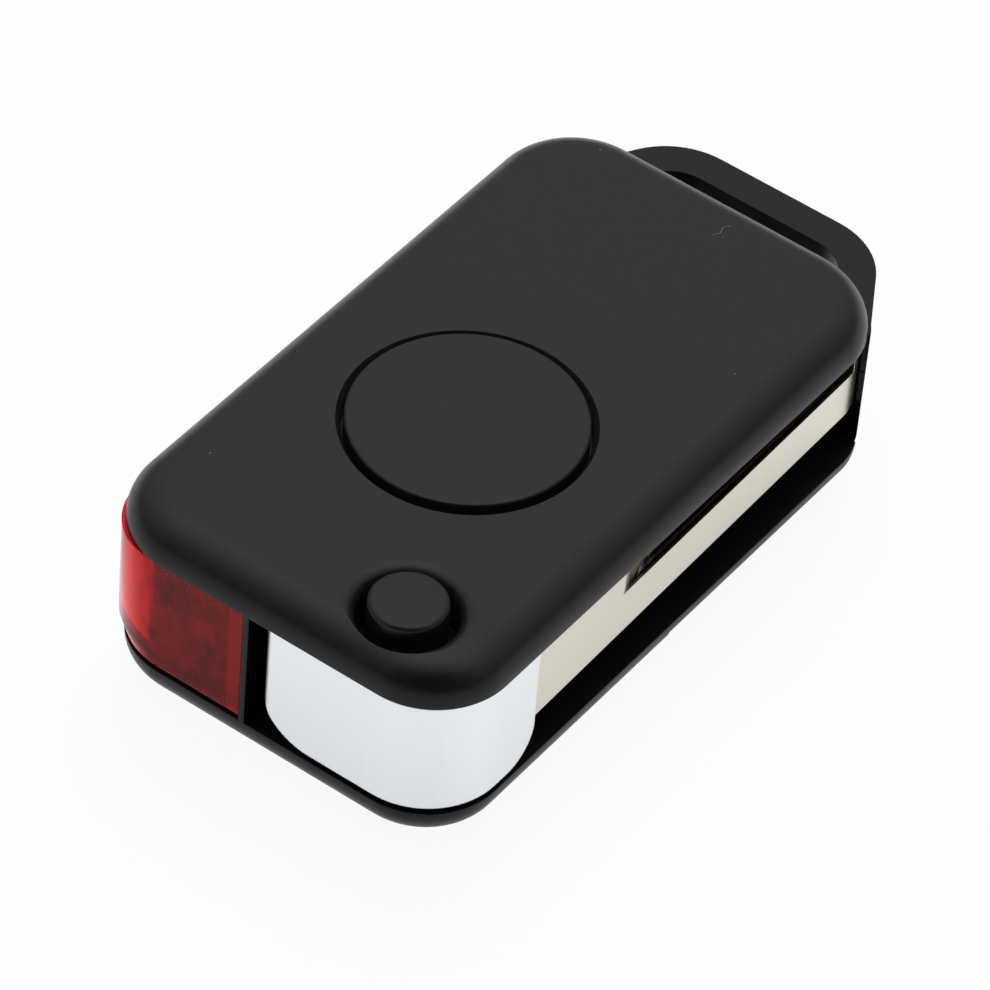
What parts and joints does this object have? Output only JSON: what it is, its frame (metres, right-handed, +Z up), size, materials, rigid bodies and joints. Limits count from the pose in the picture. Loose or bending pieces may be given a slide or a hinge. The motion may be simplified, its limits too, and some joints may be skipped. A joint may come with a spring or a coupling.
{
  "type": "flip key remote shell",
  "caption": "Folding car key shell with a round remote button, red infrared window, flip-out blade and key-ring loop.",
  "frame": {"origin": "centre of the bounding box in plan, at the underside of the case", "axes": "+Z up through the buttons, +Y towards the key-ring loop, +X towards the side that the blade folds against"},
  "size_m": [0.035, 0.0688, 0.0198],
  "materials": {
    "cover_plastic": "fine satin, charcoal",
    "base_plastic": "satin, black",
    "inner_plastic": "matt, black",
    "red_window": "clear red, glossy",
    "membrane_rubber": "soft, grey",
    "head_finish": "smooth satin, silver white",
    "blade_metal": "milled, plated",
    "steel": "plain",
    "contact_metal": "plated"
  },
  "bodies": {
    "housing": {"base_housing": "base_plastic", "top_cover": "cover_plastic", "ir_lens": "red_window", "inner_frame": "inner_plastic", "pivot_post": "steel", "retaining_clip": "steel", "thrust_washer": "steel", "cover_screws": "steel", "frame_screws": "steel", "battery_contact_plus": "contact_metal", "battery_contact_minus": "contact_metal"},
    "blade": {"blade_head": "head_finish", "key_blade": "blade_metal", "blade_roll_pin": "steel"},
    "release": {"release_button": "cover_plastic", "flip_spring": "steel"},
    "remote": {"remote_button": "cover_plastic", "button_membrane": "membrane_rubber"},
    "lid": {"battery_lid": "base_plastic", "lid_contact_strip": "contact_metal"}
  },
  "joints": [
    {"name": "blade_flip", "type": "hinge", "parent": "housing", "child": "blade", "pos_m": [0.00877, -0.02846, 0.0095], "axis": [0, 0, -1], "range_deg": [0, 180]},
    {"name": "release_press", "type": "slide", "parent": "blade", "child": "release", "axis": [0, 0, -1], "range_m": [0, 0.0015], "stiffness_N_per_m": 1500, "deforming": ["flip_spring"]},
    {"name": "remote_press", "type": "slide", "parent": "housing", "child": "remote", "axis": [0, 0, -1], "range_m": [0, 0.0004], "stiffness_N_per_m": 4000, "deforming": ["button_membrane"]},
    {"name": "lid_slide", "type": "slide", "parent": "housing", "child": "lid", "axis": [0, 1, 0], "range_m": [0, 0.034]}
  ]
}
